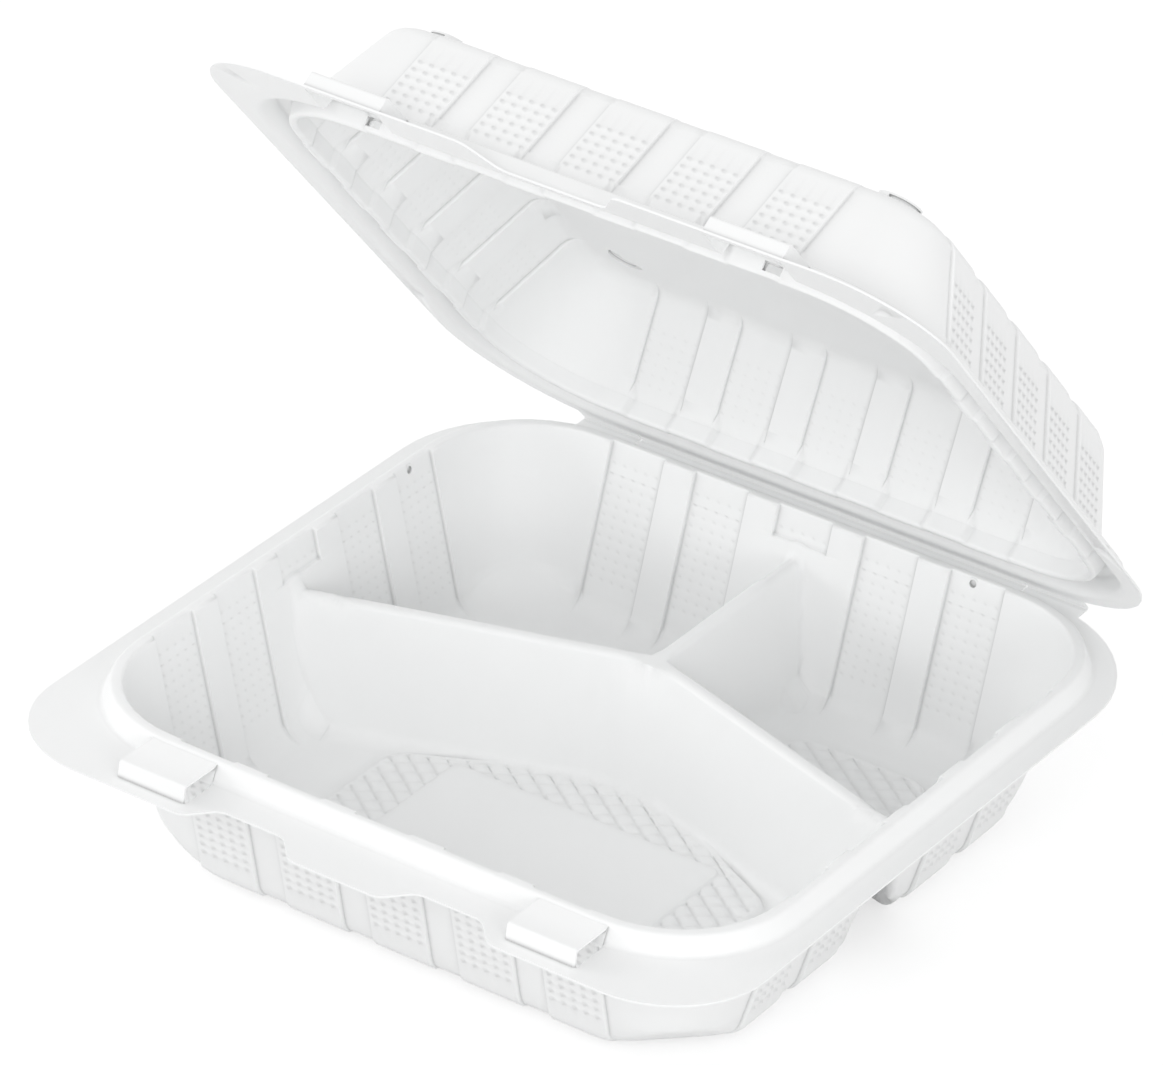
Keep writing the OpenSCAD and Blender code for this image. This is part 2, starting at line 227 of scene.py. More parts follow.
# Fineness of the meshes
LINE_STEP = 2.5
LINE_MARGIN = 0.4
LINE_SLACK = 0.05
ROW_GAP = 0.08
GRID_HALF = 80
GRID_STEP = 5
GRID_MARGIN = 1.5
EDGE_LINES = (-0.5, -0.25, 0, 0.25, 0.5)
FACET_LINES = (-2.5, -1.2, 0, 1.2, 2.5, 4.5, 7)
FAR = 99.0


# Small helpers
def smooth_step(t):
    t = np.clip(t, 0, 1)
    return t * t * (3 - 2 * t)


def soft_max(a, b, k):
    """The larger of two heights, rounded where they lie within k of each other."""
    k = np.maximum(k, 1e-6)
    share = np.clip(1 - np.abs(a - b) / k, 0, 1)
    return np.maximum(a, b) + share * share * k / 4


def rounded(points, radii, step=math.radians(12)):
    """A polyline with each inner corner turned into an arc of the given radius."""
    points = [np.array(p, float) for p in points]
    out = [points[0]]
    for before, corner, after, r in zip(points, points[1:], points[2:], radii):
        if not r:
            out.append(corner)
            continue
        a = (before - corner) / np.linalg.norm(before - corner)
        b = (after - corner) / np.linalg.norm(after - corner)
        half = math.acos(np.clip(a @ b, -1, 1)) / 2
        middle = corner + (a + b) / np.linalg.norm(a + b) * r / math.sin(half)
        start = corner + a * r / math.tan(half) - middle
        turn = math.pi - 2 * half
        side = np.sign(a[1] * b[0] - a[0] * b[1])
        count = max(2, math.ceil(turn / step))
        for s in np.linspace(0, turn, count + 1):
            c, d = math.cos(side * s), math.sin(side * s)
            out.append(middle + np.array([c * start[0] - d * start[1], d * start[0] + c * start[1]]))
    return np.array(out + [points[-1]])


def polygon_distance(p, corners):
    """Signed distance from points to a closed polygon that runs anticlockwise, negative inside."""
    corners = np.array(corners, float)
    best = np.full(len(p), np.inf)
    inside = np.zeros(len(p), bool)
    for a, b in zip(corners, np.roll(corners, -1, axis=0)):
        best = np.minimum(best, line_distance(p, [a, b]))
        crosses = (a[1] > p[:, 1]) != (b[1] > p[:, 1])
        rise = b[1] - a[1] if b[1] != a[1] else 1
        inside ^= crosses & (p[:, 0] < a[0] + (p[:, 1] - a[1]) * (b[0] - a[0]) / rise)
    return np.where(inside, -best, best)


def line_distance(p, line):
    """Distance from points to an open polyline."""
    line = np.array(line, float)
    best = np.full(len(p), np.inf)
    for a, b in zip(line, line[1:]):
        t = np.clip((p - a) @ (b - a) / ((b - a) @ (b - a)), 0, 1)
        best = np.minimum(best, np.linalg.norm(p - a - t[:, None] * (b - a), axis=1))
    return best


def round_outline(corners, r, step=math.radians(15)):
    """Closed outline at distance r round a convex polygon that runs anticlockwise."""
    corners = np.array(corners, float)
    edges = np.roll(corners, -1, axis=0) - corners
    facing = np.arctan2(-edges[:, 0], edges[:, 1])
    out = []
    for corner, start, end in zip(corners, np.roll(facing, 1), facing):
        turn = (end - start) % (2 * math.pi)
        for s in np.linspace(0, turn, max(2, math.ceil(turn / step)) + 1):
            out.append(corner + r * np.array([math.cos(start + s), math.sin(start + s)]))
    return np.array(out)


def mirrored(line):
    """A line from the middle out on the right, carried on round to a closed loop."""
    left = line[::-1] * [-1, 1]
    return np.concatenate([line, left[1:-1]])


# Columns round the rim: each has a starting point, an outward direction and a place in its band
def wall_places():
    """Places along one wall, with the shares of the band, the dot and the plug's narrower band at each."""
    first = -(RIM - CORNER_R - BAND_MARGIN - BAND_W / 2)
    middles = np.linspace(first, -first, BANDS)
    outermost = (DOT_COLUMNS - 1) / 2
    places = []
    for band, middle in enumerate(middles):
        for side in (-1, 1):
            for t in np.linspace(0, 1, 4):
                edge = BAND_W / 2 + BAND_EDGE * (0.5 - t)
                places.append((middle + side * edge, float(smooth_step(t)), 0, 0, band))
        for column in np.arange(DOT_COLUMNS) - outermost:
            for step in (-1, 0, 1):
                plug = column * step <= 0 or abs(column) < outermost
                dot = column * DOT_PITCH_W + step * DOT_HALF_W
                places.append((middle + dot, 1, 1 - abs(step), plug, band))
        if band:
            places.append((middle - (middles[1] - middles[0]) / 2, 0, 0, 0, band))
    return sorted(places)


def rim_columns():
    rows = []
    corner_turn = np.linspace(0, 90, 11)
    for i in range(4):
        out = np.array([math.sin(math.pi / 2 * i), -math.cos(math.pi / 2 * i)])
        along = np.array([-out[1], out[0]])
        for place, push, dot, plug, band in wall_places():
            short = i > 0 and band == BANDS // 2
            rows.append((*(along * place), *out, RIM, push, dot, short, plug))
        middle = (out + along) * (RIM - CORNER_R)
        for a in np.radians(corner_turn):
            rows.append((*middle, *(out * math.cos(a) + along * math.sin(a)), CORNER_R, 0, 0, 0, 0))
    return np.array(rows, float)


COLUMNS = rim_columns()


def ring_points(section, dot_depth):
    """Points of all rings, with the share of a dot at each. A section row holds inset, height, the shares
    of the bands and the dots, and whether the bands are the plug's narrower ones."""
    start, out = COLUMNS[:, 0:2], COLUMNS[:, 2:4]
    radius, push, dot, short, plug = COLUMNS[:, 4:].T
    inset, z, share, row, narrow = section.T
    push = np.where(narrow[:, None] > 0, plug, push)
    runs = 1 - short * (1 - smooth_step((z[:, None] - LEDGE_Z + BAND_EDGE) / BAND_EDGE))
    runs = np.where(z[:, None] > TRAY_H, 1, runs)
    reach = radius - inset[:, None] + BAND_DEPTH * share[:, None] * push * runs
    shares = row[:, None] * dot * (runs > 0.99)
    depth = dot_depth * shares
    slope = np.gradient(np.stack([-inset, z], 1), axis=0)
    slope /= np.linalg.norm(slope, axis=1)[:, None]
    reach = reach + depth * np.abs(slope[:, 1:2])
    plan = start + reach[..., None] * out
    height = z[:, None] - depth * slope[:, 0:1] * np.sign(slope[:, 1:2])
    return np.concatenate([plan, height[..., None]], axis=2), shares


def dot_rows(low, high, draft):
    """Heights of the rings that carry dots, with the share of the dot depth at each."""
    pitch = DOT_PITCH_H * math.cos(draft)
    count = int((high - low) / pitch)
    middles = low + pitch * (np.arange(count) + 0.5)
    step = DOT_HALF_H * math.cos(draft)
    return sorted((m + k * step, 1 - abs(k)) for m in middles for k in (-1, 0, 1))


def tray_at(z):
    """Inset of the tray's wall at a height."""
    return (TRAY_H - z) * math.tan(TRAY_DRAFT)


def lid_at(z):
    """Inset of the lid's wall at a height."""
    return LID_INSET + (z - BRIDGE_TOP) * math.tan(LID_DRAFT)


def plug_at(z):
    """Inset of the plug ring's outer wall at a height."""
    return tray_at(z) + SEAT_GAP + WALL


def with_shares(points, share, narrow):
    """Section rows from points, with the share of the bands given by a function of the inset."""
    return [(p[0], p[1], share(p[0]), 0, narrow) for p in points]


def arc_rows(inset, z, r, angles, turns):
    """Section rows round the arc between a wall and a flat, into which the bands fade."""
    return [(inset - r * math.cos(a), z + r * math.sin(a), float(smooth_step(2 * t)), 0, 0)
            for a, t in zip(angles, turns)]


def tray_section():
    arc_z = WALL + FLOOR_R
    arc_in = tray_at(arc_z - FLOOR_R * math.sin(TRAY_DRAFT)) + FLOOR_R * math.cos(TRAY_DRAFT)
    turns = np.linspace(0, 1, 8)
    angles = -math.pi / 2 + (math.pi / 2 - TRAY_DRAFT) * turns
    fillet = arc_rows(arc_in, arc_z, FLOOR_R, angles, turns)
    ledge = [(LEDGE_Z - BAND_EDGE * t, 0) for t in LEDGE_STEPS]
    rows = dot_rows(*TRAY_DOTS_Z, TRAY_DRAFT)
    clear = [r for r in ledge if min(abs(r[0] - q[0]) for q in rows) > ROW_GAP]
    wall = [(tray_at(z), z, 1, dot, 0) for z, dot in sorted(rows + clear)]
    end = -BEAD_FOOT - FOOT_RUN
    low = TRAY_H - LIP_DROP
    corners = [(tray_at(low), low), (0, TRAY_H), (-BEAD_W, TRAY_H), (-BEAD_FOOT, FLANGE_Z), (end, FLANGE_Z)]
    rim = rounded(corners, [LIP_R, BEAD_R, FOOT_R], math.radians(20))
    return np.array(fillet + wall + with_shares(rim, lambda x: np.clip(1 + x * 2 / BEAD_W, 0, 1), 0))


def lid_section():
    arc_z = LID_TOP - CROWN_R
    arc_in = lid_at(arc_z + CROWN_R * math.sin(LID_DRAFT)) + CROWN_R * math.cos(LID_DRAFT)
    turns = np.linspace(0, 1, 7)
    angles = math.pi / 2 - (math.pi / 2 - LID_DRAFT) * turns
    crown = arc_rows(arc_in, arc_z, CROWN_R, angles, turns)
    wall = [(lid_at(z), z, 1, dot, 0) for z, dot in reversed(dot_rows(*LID_DOTS_Z, LID_DRAFT))]
    foot = plug_at(PLUG_Z) + PLUG_W - 2 * WALL
    edge = plug_at(BRIDGE_Z)
    high = BRIDGE_TOP + LID_LIP_RISE
    corners = [(lid_at(high), high), (LID_INSET, BRIDGE_TOP), (foot, PLUG_Z + WALL),
               (plug_at(PLUG_Z), PLUG_Z + WALL), (edge, BRIDGE_TOP),
               (-BEAD_W - SEAT_GAP - BEAD_SKIN, BRIDGE_TOP), (-LID_FOOT, LID_FLANGE_Z),
               (-LID_FOOT - FOOT_RUN, LID_FLANGE_Z)]
    radii = [LID_LIP_R, PLUG_R, PLUG_R, LIP_R, BEAD_R, FOOT_R]
    rim = rounded(corners, radii, math.radians(24))
    middle = BEAD_W / 2
    bridge = with_shares(rim, lambda x: np.clip((x + middle) / (edge + middle), 0, 1), 1)
    return np.array(crown + wall + bridge)


# Heights of the tray's floor
def fork_lines():
    middle = FORK_Y - FORK_R / math.cos(FORK_ANGLE)
    bend = [(FORK_R * math.sin(a), middle + FORK_R * math.cos(a))
            for a in np.linspace(-FORK_ANGLE, FORK_ANGLE, 13)]
    end = (RIM, FORK_Y - RIM * math.tan(FORK_ANGLE))
    front = np.array([(-end[0], end[1])] + bend + [end])
    back = np.array([bend[6], (0, RIM)])
    return front, back


FORK_LINES = fork_lines()
DIVIDER_BASE = CREST_W / 2 + (DIVIDER_H - WALL) * math.tan(DIVIDER_DRAFT)
DIVIDER_PROFILE = rounded([(0, DIVIDER_H), (CREST_W / 2, DIVIDER_H), (DIVIDER_BASE, WALL), (FAR, WALL)],
                          [CREST_R, DIVIDER_FOOT_R])


def divider_height(p):
    front, back = (line_distance(p, line) for line in FORK_LINES)
    distance = -soft_max(-front, -back, FORK_BLEND)
    return np.interp(distance, *DIVIDER_PROFILE.T)


PANELS = [FRONT_PANEL, BACK_PANEL, [(-x, y) for x, y in reversed(BACK_PANEL)]]


def plate_edge(p):
    return polygon_distance(p, PLATE) - PLATE_R


def grooved_edge(p):
    """Signed distance to the grooved part of the floor panels, negative inside."""
    panels = np.min([polygon_distance(p, corners) for corners in PANELS], axis=0) - PANEL_R
    return np.maximum(panels + GROOVE_MARGIN, PLATE_EDGE / 2 - plate_edge(p))


def groove_ways():
    """Directions along and across each of the two families of grooves, and its share of the depth."""
    for turn, share in ((GROOVE_ANGLE, FAINT_GROOVES), (-GROOVE_ANGLE, 1)):
        c, s = math.cos(turn), math.sin(turn)
        yield np.array([c, s]), np.array([-s, c]), share


def groove_height(p):
    depth = np.zeros(len(p))
    for _, across, share in groove_ways():
        place = p @ across / GROOVE_PITCH
        away = np.abs(place - np.round(place)) * GROOVE_PITCH
        depth = np.maximum(depth, share * (1 - away / GROOVE_HALF_W))
    return -GROOVE_DEPTH * depth * smooth_step(-grooved_edge(p) / GROOVE_FADE)


def panel_height(p):
    edge = np.min([polygon_distance(p, corners) for corners in PANELS], axis=0) - PANEL_R
    rise = PANEL_RISE * smooth_step(0.5 - edge / PANEL_EDGE)
    return rise + PLATE_RISE * smooth_step(0.5 - plate_edge(p) / PLATE_EDGE) + groove_height(p)


def facet_height(p):
    """Height of the stacking facet that crosses the nearest corner."""
    diagonal = (np.abs(p).sum(1) - 2 * (RIM - CORNER_R)) / math.sqrt(2)
    return (diagonal - STACK_IN + WALL / math.cos(STACK_LEAN)) / math.tan(STACK_LEAN)


def formed_height(p, z):
    """Height of the tray's upper face, over the plain floor or wall at height z."""
    z = soft_max(z, facet_height(p), STACK_BLEND)
    divider = divider_height(p)
    blend = np.clip(BLEND_SHARE * (np.minimum(z, divider) - WALL), 0, DIVIDER_BLEND)
    return soft_max(z, divider, blend)


def floor_height(p):
    return formed_height(p, WALL + panel_height(p))


# Lines along which the floor bends, so that its triangles follow them
def floor_lines(edge):
    lines = []
    for reach in DIVIDER_PROFILE[1:-1, 0]:
        for line in FORK_LINES:
            lines += offset_lines(line, reach)
    lines += FORK_LINES
    steps = [(corners, PANEL_R, PANEL_EDGE) for corners in PANELS] + [(PLATE, PLATE_R, PLATE_EDGE)]
    for corners, r, width in steps:
        for t in EDGE_LINES:
            loop = round_outline(corners, r + t * width)
            lines.append(np.concatenate([loop, loop[:1]]))
    lines += facet_lines()
    return [piece for line in lines for piece in cut_to(spread(line, LINE_STEP), edge)] + groove_lines()


def facet_lines():
    """Lines across the four corners, where the stacking facets bend into the floor."""
    lines = []
    for i in range(4):
        turn = math.pi / 4 + math.pi / 2 * i
        out = np.array([math.cos(turn), math.sin(turn)])
        along = np.array([-out[1], out[0]])
        middle = out * (RIM - CORNER_R) * math.sqrt(2)
        for t in FACET_LINES:
            foot = middle + out * (STACK_IN - WALL + t)
            lines.append(np.array([foot - along * CORNER_R, foot + along * CORNER_R]))
    return lines


def groove_lines():
    """The middle and the two edges of every groove, with a point more at each end where it fades out."""
    lines = []
    count = int(RIM / GROOVE_PITCH)
    for along, across, _ in groove_ways():
        for k in range(-count, count + 1):
            for side in (-1, 0, 1):
                foot = across * (k * GROOVE_PITCH + side * GROOVE_HALF_W)
                line = spread(np.array([foot - along * RIM, foot + along * RIM]), GROOVE_FADE)
                for run in runs_of(line, grooved_edge(line) < 0):
                    if len(run) > 4:
                        lines.append(run[[0, 1, -2, -1]])
    return lines


def offset_lines(line, reach):
    """The two lines beside a polyline at a given distance, without what lies nearer to another line."""
    line = spread(line, LINE_STEP)
    along = np.gradient(line, axis=0)
    along /= np.linalg.norm(along, axis=1)[:, None]
    beside = np.stack([-along[:, 1], along[:, 0]], 1) * reach
    out = []
    for side in (line + beside, line - beside):
        near = np.minimum(*(line_distance(side, other) for other in FORK_LINES))
        out += runs_of(side, near > reach - LINE_SLACK)
    return out


def spread(line, step):
    """A polyline with points at most a step apart."""
    out = [line[:1]]
    for a, b in zip(line, line[1:]):
        count = max(1, math.ceil(np.linalg.norm(b - a) / step))
        out.append(a + (b - a) * np.linspace(0, 1, count + 1)[1:, None])
    return np.concatenate(out)


def runs_of(line, keep):
    """The unbroken stretches of a line where keep is true."""
    out, start = [], None
    for i, inside in enumerate(list(keep) + [False]):
        if inside and start is None:
            start = i
        if not inside and start is not None:
            if i - start > 1:
                out.append(line[start:i])
            start = None
    return out


def cut_to(line, edge):
    """The stretches of a line that lie well inside an edge."""
    return runs_of(line, edge(line) < -LINE_MARGIN)


def square_edge(half, r):
    """Signed distance to a square with round corners."""
    def distance(p):
        q = np.abs(p) - (half - r)
        return np.linalg.norm(np.maximum(q, 0), axis=1) + np.minimum(q.max(1), 0) - r
    return distance


# Sheets
def flat_region(loops, lines, points, keep):
    """Triangles between closed loops. Returns all points in plan, and faces that count loop points first."""
    places, edges = [], []
    for closed, group in ((True, loops), (False, lines)):
        for line in group:
            first = len(places)
            places += [tuple(p) for p in line]
            edges += [(first + k, first + k + 1) for k in range(len(line) - 1)]
            if closed:
                edges.append((len(places) - 1, first))
    places += [tuple(p) for p in points]
    loop_count = sum(len(line) for line in loops)
    made, _, faces, origin, _, _ = delaunay_2d_cdt([Vector(p) for p in places], edges, [], 0, 1e-5)
    plan = np.array([tuple(p) for p in made])
    faces = np.array([f for f in faces if len(f) == 3])
    faces = faces[keep(plan[faces].mean(1))]
    source = {i: min(o) for i, o in enumerate(origin) if o and min(o) < loop_count}
    return plan, faces, source


class Sheet:
    """Upper face of a formed sheet, which is then given its thickness."""

    def __init__(self, section, dot_depth, lift=None):
        points, shares = ring_points(section, dot_depth)
        self.bumps = DOT_BUMP * shares.ravel()
        if lift:
            points[..., 2] = lift(points.reshape(-1, 3)).reshape(points.shape[:2])
        self.rings, self.columns = points.shape[:2]
        self.points = [points.reshape(-1, 3)]
        self.count = self.rings * self.columns
        self.faces = []
        for k in range(self.rings - 1):
            for j in range(self.columns):
                a, b = k * self.columns + j, k * self.columns + (j + 1) % self.columns
                self.faces.append((a, a + self.columns, b + self.columns, b))

    def ring(self, k):
        """Numbers of the points of one ring."""
        start = (k % self.rings) * self.columns
        return np.arange(start, start + self.columns)

    def plan(self, numbers):
        return self.points[0][numbers, :2]

    def add_region(self, ring, outline, lines, points, keep, height):
        """A region with a ring of the sheet as one edge, and its outline, if any, as the other."""
        numbers = self.ring(ring)
        loops = [self.plan(numbers)] + ([outline] if outline is not None else [])
        plan, faces, source = flat_region(loops, lines, points, keep)
        heights = height(plan)
        new, index = [], np.zeros(len(plan), int)
        for i in range(len(plan)):
            if source.get(i, len(numbers)) < len(numbers):
                index[i] = numbers[source[i]]
            else:
                index[i] = self.count + len(new)
                new.append((*plan[i], heights[i]))
        self.points.append(np.array(new).reshape(-1, 3))
        self.count += len(new)
        self.faces += [tuple(index[f]) for f in faces]

    def solid(self, name):
        """The sheet with its under face and its edge, as an object in millimetres."""
        upper = np.concatenate(self.points)
        mesh = bmesh.new()
        verts = [mesh.verts.new(p) for p in upper]
        for face in self.faces:
            mesh.faces.new([verts[i] for i in face])
        mesh.normal_update()
        mesh.verts.index_update()
        edge = [(loop.vert.index, loop.link_loop_next.vert.index)
                for face in mesh.faces for loop in face.loops if loop.edge.is_boundary]
        depths = np.array([WALL * min(v.calc_shell_factor(), SHELL_LIMIT) for v in verts])
        depths[:len(self.bumps)] += self.bumps
        lower = [mesh.verts.new(v.co - v.normal * depth) for v, depth in zip(verts, depths)]
        for face in self.faces:
            mesh.faces.new([lower[i] for i in reversed(face)])
        for a, b in edge:
            mesh.faces.new((verts[b], verts[a], lower[a], lower[b]))
        bmesh.ops.delete(mesh, geom=[v for v in mesh.verts if not v.link_faces], context="VERTS")
        return new_object(name, mesh)


def new_object(name, mesh):
    data = bpy.data.meshes.new(name)
    mesh.to_mesh(data)
    mesh.free()
    made = bpy.data.objects.new(name, data)
    bpy.context.scene.collection.objects.link(made)
    return made


def front_outline(reaches, lobe_edges):
    """Edge of a flange: its reach changes at the middles of the lobes' slanted ends along the front."""
    points = [(0, -RIM - reaches[0])]
    for x, before, after in zip(lobe_edges, reaches, reaches[1:]):
        points += [(x - LOBE_SLANT / 2, -RIM - before), (x + LOBE_SLANT / 2, -RIM - after)]
    points += [(SIDE_X, -RIM - reaches[-1]), (SIDE_X, RIM + BACK_REACH), (0, RIM + BACK_REACH)]
    radii = [LOBE_R] * (2 * len(lobe_edges)) + [FRONT_R, CORNER_R + BACK_REACH]
    return mirrored(rounded(points, radii, math.radians(8)))


def flange_region(sheet, outline, z):
    inner = sheet.plan(sheet.ring(-1))
    edge = square_edge(abs(inner).max(), CORNER_R + abs(inner).max() - RIM)
    keep = lambda p: (edge(p) > 0) & (polygon_distance(p, outline) < 0)
    sheet.add_region(-1, outline, [], [], keep, lambda p: np.full(len(p), z))


# Solids that are joined to a sheet or cut out of it
def add_prism(mesh, outline, low, high, place):
    """A prism over a flat outline, from one height to another, set in its place by a function."""
    ends = [[mesh.verts.new(place(u, v, w)) for u, v in outline] for w in (low, high)]
    faces = [mesh.faces.new(end) for end in ends]
    for k in range(len(outline)):
        faces.append(mesh.faces.new((ends[0][k - 1], ends[0][k], ends[1][k], ends[1][k - 1])))
    bmesh.ops.recalc_face_normals(mesh, faces=faces)


def add_box(mesh, low, high):
    corners = [(low[0], low[1]), (high[0], low[1]), (high[0], high[1]), (low[0], high[1])]
    add_prism(mesh, corners, low[2], high[2], lambda x, y, z: (x, y, z))


def add_cone(mesh, x, y, low, high, base_r, top_r):
    place = Matrix.Translation((x, y, (low + high) / 2))
    bmesh.ops.create_cone(mesh, cap_ends=True, segments=32, radius1=base_r, radius2=top_r,
                          depth=high - low, matrix=place)


def latch_solids(length, reach, top, root, low, r):
    """The two latches: a slanted front, a flat top, and a root at a distance from the bead's outer face."""
    mesh = bmesh.new()
    face = [-RIM - BEAD_W - root - (TRAY_H - z) * BEAD_RUN / BEAD_H for z in (low, top)]
    front = -RIM - reach
    outline = rounded([(face[0], low), (front, low), (front + TAB_TAPER, top), (face[1], top)], [0, r])
    for side in (-1, 1):
        add_prism(mesh, outline, TAB_X - length / 2, TAB_X + length / 2,
                  lambda y, z, x: (side * x, y, z))
    return mesh


def at_corner(i):
    """Function that places a point, given with X out of the corner, at one corner of the rim."""
    turn = math.pi / 4 + math.pi / 2 * i
    c, s = math.cos(turn), math.sin(turn)
    out = (RIM - CORNER_R) * math.sqrt(2)
    return lambda x, y, z: ((out + x) * c - y * s, (out + x) * s + y * c, z)


def at_wall(i):
    """Function that turns a point at the front wall to one of the four walls."""
    c, s = round(math.cos(math.pi / 2 * i)), round(math.sin(math.pi / 2 * i))
    return lambda x, y, z: (x * c - y * s, x * s + y * c, z)


def crescent(grow):
    """Outline of a vent hood, pointing along +X, grown or shrunk by a distance."""
    outer, inner, tip = VENT_R + grow, VENT_R - grow, VENT_TIP - grow
    a, b = math.acos(tip / outer), math.acos((tip + VENT_W) / inner)
    front = [(outer * math.cos(t) + VENT_OUT, outer * math.sin(t)) for t in np.linspace(-a, a, 25)]
    back = [(inner * math.cos(t) + VENT_OUT - VENT_W, inner * math.sin(t)) for t in np.linspace(b, -b, 17)]
    return front + back


def vent_mouth():
    """Outline of the opening along a vent hood's front."""
    turns = np.linspace(-VENT_SPAN, VENT_SPAN, 21)
    rim = np.array([(math.cos(t), math.sin(t)) for t in turns])
    return np.concatenate([(VENT_R + WALL) * rim, (VENT_R - 1.5 * WALL) * rim[::-1]]) + (VENT_OUT, 0)


def dimple_places():
    side_middle = (SIDE_REACH - LID_FOOT) / 2
    for side in (-1, 1):
        yield side * (SIDE_X - DIMPLE_EDGE), DIMPLE_EDGE - RIM - LID_LOBE_REACH
        yield side * (SIDE_X - side_middle), DIMPLE_Y


def add_snaps(mesh, r, inner, outer):
    """A round plug at the snap of each wall, between two distances out from the wall's inner face."""
    face = -RIM - BAND_DEPTH + tray_at(SNAP_Z)
    turns = np.linspace(0, 2 * math.pi, 24, endpoint=False)
    outline = [(r * math.cos(t) - SNAP_X, r * math.sin(t) + SNAP_Z) for t in turns]
    for i in range(4):
        turned = at_wall(i)
        add_prism(mesh, outline, face - inner, face - outer, lambda x, z, y: turned(x, y, z))


def tray_humps():
    mesh = latch_solids(TAB_L, TAB_REACH, TAB_Z, -BEAD_SKIN / 2, FLANGE_Z - WALL / 2, TAB_R)
    add_snaps(mesh, SNAP_R + WALL, WALL / 2, SNAP_DEPTH + WALL)
    return mesh


def tray_cuts():
    mesh = latch_solids(TAB_L + TAB_SLIT, TAB_REACH - WALL, TAB_Z - WALL, TAB_SLIT / 4,
                        FLANGE_Z - 2 * WALL, TAB_R - WALL)
    add_snaps(mesh, SNAP_R, -2 * WALL, SNAP_DEPTH)
    return mesh


def lid_humps():
    room = POCKET_GAP + WALL
    mesh = latch_solids(TAB_L + 2 * room, TAB_REACH + room, TAB_Z + SEAT_GAP + WALL,
                        SEAT_GAP + BEAD_SKIN / 2, LID_FLANGE_Z - WALL / 2, TAB_R)
    for i in range(4):
        add_prism(mesh, crescent(0), LID_TOP - WALL / 2, LID_TOP + VENT_H, at_corner(i))
    for x, y in dimple_places():
        add_cone(mesh, x, y, LID_FLANGE_Z - WALL / 2, LID_FLANGE_Z + DIMPLE_H,
                 DIMPLE_R + WALL, DIMPLE_R / 2 + WALL)
    return mesh


def lid_cuts():
    mesh = latch_solids(TAB_L + 2 * POCKET_GAP, TAB_REACH + POCKET_GAP, TAB_Z + SEAT_GAP, 0,
                        LID_FLANGE_Z - 3 * WALL, TAB_R - WALL)
    for i in range(4):
        add_prism(mesh, crescent(-WALL), LID_TOP - 2 * WALL, LID_TOP + VENT_H - WALL, at_corner(i))
        add_prism(mesh, vent_mouth(), LID_TOP + VENT_SILL, LID_TOP + VENT_H - WALL, at_corner(i))
    for x, y in dimple_places():
        add_cone(mesh, x, y, LID_FLANGE_Z - 2 * WALL, LID_FLANGE_Z + DIMPLE_H - WALL, DIMPLE_R, DIMPLE_R / 2)
    foot = tray_at(PLUG_Z) + SEAT_GAP + PLUG_W
    for side in (-1, 1):
        add_box(mesh, (side * TAB_X - RELIEF_W / 2, -RIM - BAND_DEPTH, PLUG_Z + 2 * WALL),
                (side * TAB_X + RELIEF_W / 2, -RIM + foot + WALL, PLUG_Z + 2 * WALL + PLUG_H / 2))
    return mesh


def combine(piece, operation, mesh):
    """Joins solids to a piece, or cuts them out of it."""
    tool = new_object("tool", mesh)
    change = piece.modifiers.new("change", "BOOLEAN")
    change.operation = operation
    change.solver = "MANIFOLD"
    change.object = tool
    plain = piece.data
    made = bpy.data.meshes.new_from_object(piece.evaluated_get(bpy.context.evaluated_depsgraph_get()))
    piece.modifiers.clear()
    piece.data = made
    bpy.data.meshes.remove(plain)
    bpy.data.objects.remove(tool)


def formed_wall(p):
    """Heights of the tray's ring points, lifted by dividers and facets below the rim."""
    return np.where(p[:, 2] < TRAY_H - FORMED_BELOW, formed_height(p[:, :2], p[:, 2]), p[:, 2])


def everywhere(p):
    return np.ones(len(p), bool)


def make_tray():
    sheet = Sheet(tray_section(), DOT_DEPTH, formed_wall)
    inner = sheet.plan(sheet.ring(0))
    half = abs(inner).max()
    edge = square_edge(half, CORNER_R + half - RIM)
    grid = np.arange(-GRID_HALF, GRID_HALF + 1, GRID_STEP)
    filler = np.array([(x, y) for x in grid for y in grid], float)
    filler = filler[edge(filler) < -GRID_MARGIN]
    sheet.add_region(0, None, floor_lines(edge), filler, everywhere, floor_height)
    outline = front_outline([LOBE_Y - RIM, FRONT_REACH, LOBE_Y - RIM], [MIDDLE_LOBE, MIDDLE_LOBE + NOTCH_W])
    flange_region(sheet, outline, FLANGE_Z)
    tray = sheet.solid("tray_sheet")
    combine(tray, "UNION", tray_humps())
    combine(tray, "DIFFERENCE", tray_cuts())
    return tray


def make_lid():
    sheet = Sheet(lid_section(), DOT_DEPTH + DOT_BUMP)
    sheet.add_region(0, None, [], [], everywhere, lambda p: np.full(len(p), LID_TOP))
    outline = front_outline([LID_FRONT_REACH, LID_LOBE_REACH], [MIDDLE_LOBE + LOBE_GAP])
    flange_region(sheet, outline, LID_FLANGE_Z)
    lid = sheet.solid("lid_sheet")
    combine(lid, "UNION", lid_humps())
    combine(lid, "DIFFERENCE", lid_cuts())
    return lid


